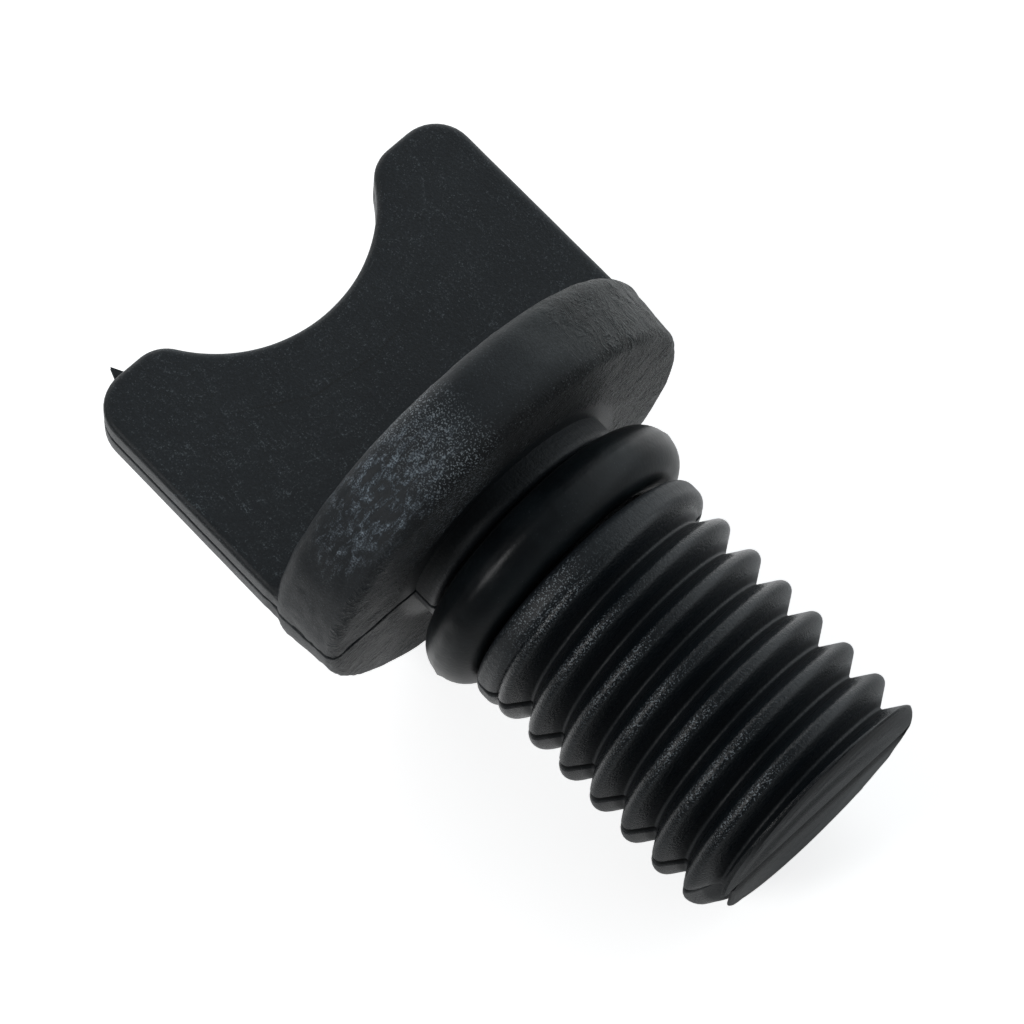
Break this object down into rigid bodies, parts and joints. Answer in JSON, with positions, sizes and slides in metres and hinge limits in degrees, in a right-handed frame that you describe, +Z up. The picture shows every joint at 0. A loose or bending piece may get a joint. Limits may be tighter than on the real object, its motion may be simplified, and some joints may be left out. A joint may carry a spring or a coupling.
{
  "type": "radiator bleed screw",
  "caption": "Black plastic wing screw with a notched thumb plate, a wide flange, a grooved rubber sealing ring and a coarse right-hand thread.",
  "frame": {"origin": "on the floor under the middle of the screw's box, as it lies on the flange rim and the last crests of the thread", "axes": "+X runs from the wing to the thread's tip, which dips, +Y across the level wing, +Z up"},
  "size_m": [0.0278, 0.0168, 0.0167],
  "materials": {
    "body_plastic": "moulded black plastic, satin, with a leathery rim on the flange",
    "ring_rubber": "smooth black rubber, slightly glossy"
  },
  "bodies": {
    "root": {"screw_body": "body_plastic", "sealing_ring": "ring_rubber"}
  },
  "joints": []
}
